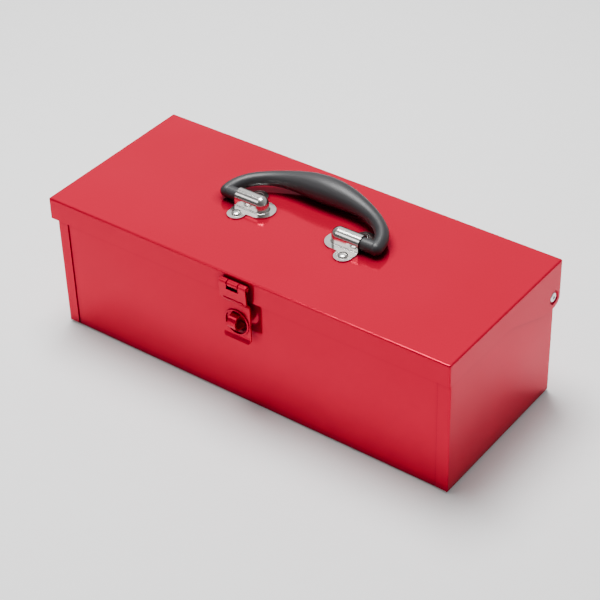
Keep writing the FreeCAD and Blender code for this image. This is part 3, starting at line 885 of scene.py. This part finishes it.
# %% Metal and plastic finishes
chrome = Finish("bracket chrome", Metallic=1.0)
marks = chrome.noise(260.0, 4.0, 0.6)
chrome.feed("Base Color", chrome.blend(marks, (0.56, 0.54, 0.52), (0.80, 0.78, 0.76)))
chrome.feed("Roughness", marks * 0.12 + 0.13)
chrome.bump(chrome.noise(700.0, 2.0) * 0.00001)

bright = Finish("rivet steel", Metallic=1.0)
marks = bright.noise(500.0, 4.0, 0.6)
bright.feed("Base Color", bright.blend(marks, (0.62, 0.62, 0.63), (0.86, 0.86, 0.86)))
bright.feed("Roughness", marks * 0.16 + 0.14)
bright.bump(bright.noise(1200.0, 2.0) * 0.00002)

zinc = Finish("dull zinc plate", Metallic=1.0)
spangle = zinc.noise(180.0, 3.0, 0.7)
zinc.feed("Base Color", zinc.blend(spangle, (0.34, 0.34, 0.35), (0.55, 0.55, 0.56)))
zinc.feed("Roughness", spangle * 0.2 + 0.32)

black = Finish("black moulded plastic", Metallic=0.0, IOR=1.5)
grain = black.noise(900.0, 3.0, 0.6)
worn = black.noise(28.0, 3.0)
black.feed("Base Color", black.blend(worn, (0.018, 0.018, 0.020), (0.030, 0.030, 0.033)))
black.feed("Roughness", worn * 0.12 + grain * 0.08 + 0.34)
black.bump(grain * 0.00011)
print("four more finishes")

# %% [markdown]
# ## Putting it together
#
# Each new piece is told which body it moves with, which CAD node it stands for, and which finish it
# takes. The stems' rounded ends stand for nothing: they only add to the CAD stems. The small CAD
# pieces that stay as they are just get a finish.

# %% Pieces, bodies and finishes
def fit(piece, body, finish, slot, *nodes):
    """Paint a new piece, put it on a body and let it stand for CAD nodes."""
    piece.data.materials.clear()
    piece.data.materials.append(finish.material)
    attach(piece, body)
    if nodes:
        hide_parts(*nodes)


stem_left = flipped(stem, "hinge_stem_body_left")
fit(grip, "handle", black, "black_plastic", "handle_grip")
fit(bracket, "lid", chrome, "chrome", "handle_bracket_right")
fit(bracket_left, "lid", chrome, "chrome", "handle_bracket_left")
fit(rivets, "lid", chrome, "chrome", "bracket_rivets_right")
fit(rivets_left, "lid", chrome, "chrome", "bracket_rivets_left")
fit(hinge, "base", bright, "bright_steel", "hinge_rivet_right")
fit(hinge_left, "base", bright, "bright_steel", "hinge_rivet_left")
fit(stem, "base", zinc, "plain_steel")
fit(stem_left, "base", zinc, "plain_steel")
fit(plate, "hasp", red, "red_paint", "hasp_plate")
fit(leaf, "lid", red, "red_paint", "hasp_leaf")
fit(pin, "lid", red, "red_paint", "hasp_pin")
fit(loop, "base", red, "red_paint", "staple")
fit(lid, "lid", red, "red_paint", "lid_shell")
fit(wrap, "base", red, "red_paint", "base_wrap")
fit(end_right, "base", red, "red_paint", "end_panel_right")
fit(end_left, "base", red, "red_paint", "end_panel_left")
fit(staple_heads, "base", red, "red_paint", "staple_rivets")

KEPT = {
    "hasp_leaf_rivets": red, "hinge_stem_left": zinc, "hinge_stem_right": zinc,
    "bracket_backing_left": zinc, "bracket_backing_right": zinc, "handle_core": zinc,
}
for name, finish in KEPT.items():
    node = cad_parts[name]
    for spot in node.material_slots:
        spot.material = finish.material
print(len(KEPT), "CAD pieces kept,", len(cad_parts) - len(KEPT), "replaced")

# %% [markdown]
# ## Studio
#
# The box stands on a pale sheet of paper. A large soft lamp above lights the lid, a weak one at the
# back left is what the lid mirrors, and a small one at the front left draws the edges. The room is
# brighter behind the box than in front of it, so the front stays deeper red than the lid.

# %% Floor, light and camera
clear()
bpy.ops.mesh.primitive_plane_add(size=8, location=(0, 0, -0.0005))
floor = bpy.context.object
floor.name = "paper_floor"
paper = Finish("white paper", Roughness=0.9, Emission_Color=(1.0, 1.0, 1.0, 1.0), Emission_Strength=0.08)
fibre = paper.noise(60.0, 3.0)
paper.feed("Base Color", paper.blend(fibre, (0.90, 0.90, 0.90), (0.93, 0.93, 0.93)))
floor.data.materials.append(paper.material)

world = bpy.data.worlds.new("white studio")
bpy.context.scene.world = world
world.use_nodes = True
sky = world.node_tree.nodes["Background"]
sky_nodes = world.node_tree.nodes
towards = sky_nodes.new("ShaderNodeTexCoord")
parts = sky_nodes.new("ShaderNodeSeparateXYZ")
shade = sky_nodes.new("ShaderNodeMapRange")
for name, number in {"From Min": -0.7, "From Max": 0.6, "To Min": 0.12, "To Max": 0.5}.items():
    shade.inputs[name].default_value = number
world.node_tree.links.new(towards.outputs["Generated"], parts.inputs[0])
world.node_tree.links.new(parts.outputs["Y"], shade.inputs["Value"])
world.node_tree.links.new(shade.outputs["Result"], sky.inputs["Strength"])
sky.inputs["Color"].default_value = (1.0, 1.0, 1.0, 1)


def soft_lamp(name, size, power, place, aim):
    """A square lamp of soft light, pointed at a place."""
    clear()
    bpy.ops.object.light_add(type="AREA", location=place)
    lamp = bpy.context.object
    lamp.name = name
    lamp.data.size = size
    lamp.data.energy = power
    lamp.rotation_euler = (Vector(aim) - Vector(place)).to_track_quat("-Z", "Y").to_euler()


soft_lamp("window behind", 0.85, 1.6, (-0.73, 0.955, 1.0), (0, 0, 0.118))
soft_lamp("top light", 0.7, 43, (-0.24, 0.14, 1.5), (0, 0, 0.1))
soft_lamp("edge light", 0.5, 2.5, (-0.74, -0.98, 1.08), (0, 0, 0.118))

AZIMUTH = math.radians(37.39)
ELEVATION = math.radians(36.72)
ROLL = math.radians(-1.80)
LENS = 109.69
AIM_HEIGHT = 60
AWAY = 1378.55
SHIFT_RIGHT = -0.02
SHIFT_UP = -6.47
back = Vector((
    math.sin(AZIMUTH) * math.cos(ELEVATION), -math.cos(AZIMUTH) * math.cos(ELEVATION), math.sin(ELEVATION)
))
right = (-back).cross(Vector((0, 0, 1))).normalized()
up = right.cross(-back)
right, up = right * math.cos(ROLL) + up * math.sin(ROLL), -right * math.sin(ROLL) + up * math.cos(ROLL)
bpy.ops.object.camera_add()
camera = bpy.context.object
camera.data.lens = LENS
camera.data.sensor_width = 36
camera.data.clip_end = 20
stand = mm(0, 0, AIM_HEIGHT) + back * mm(AWAY) + right * mm(SHIFT_RIGHT) + up * mm(SHIFT_UP)
turn = Matrix((right, up, back)).transposed().to_4x4()
camera.matrix_world = Matrix.Translation(stand) @ turn
bpy.context.scene.camera = camera
print("camera at", [round(v, 3) for v in stand])
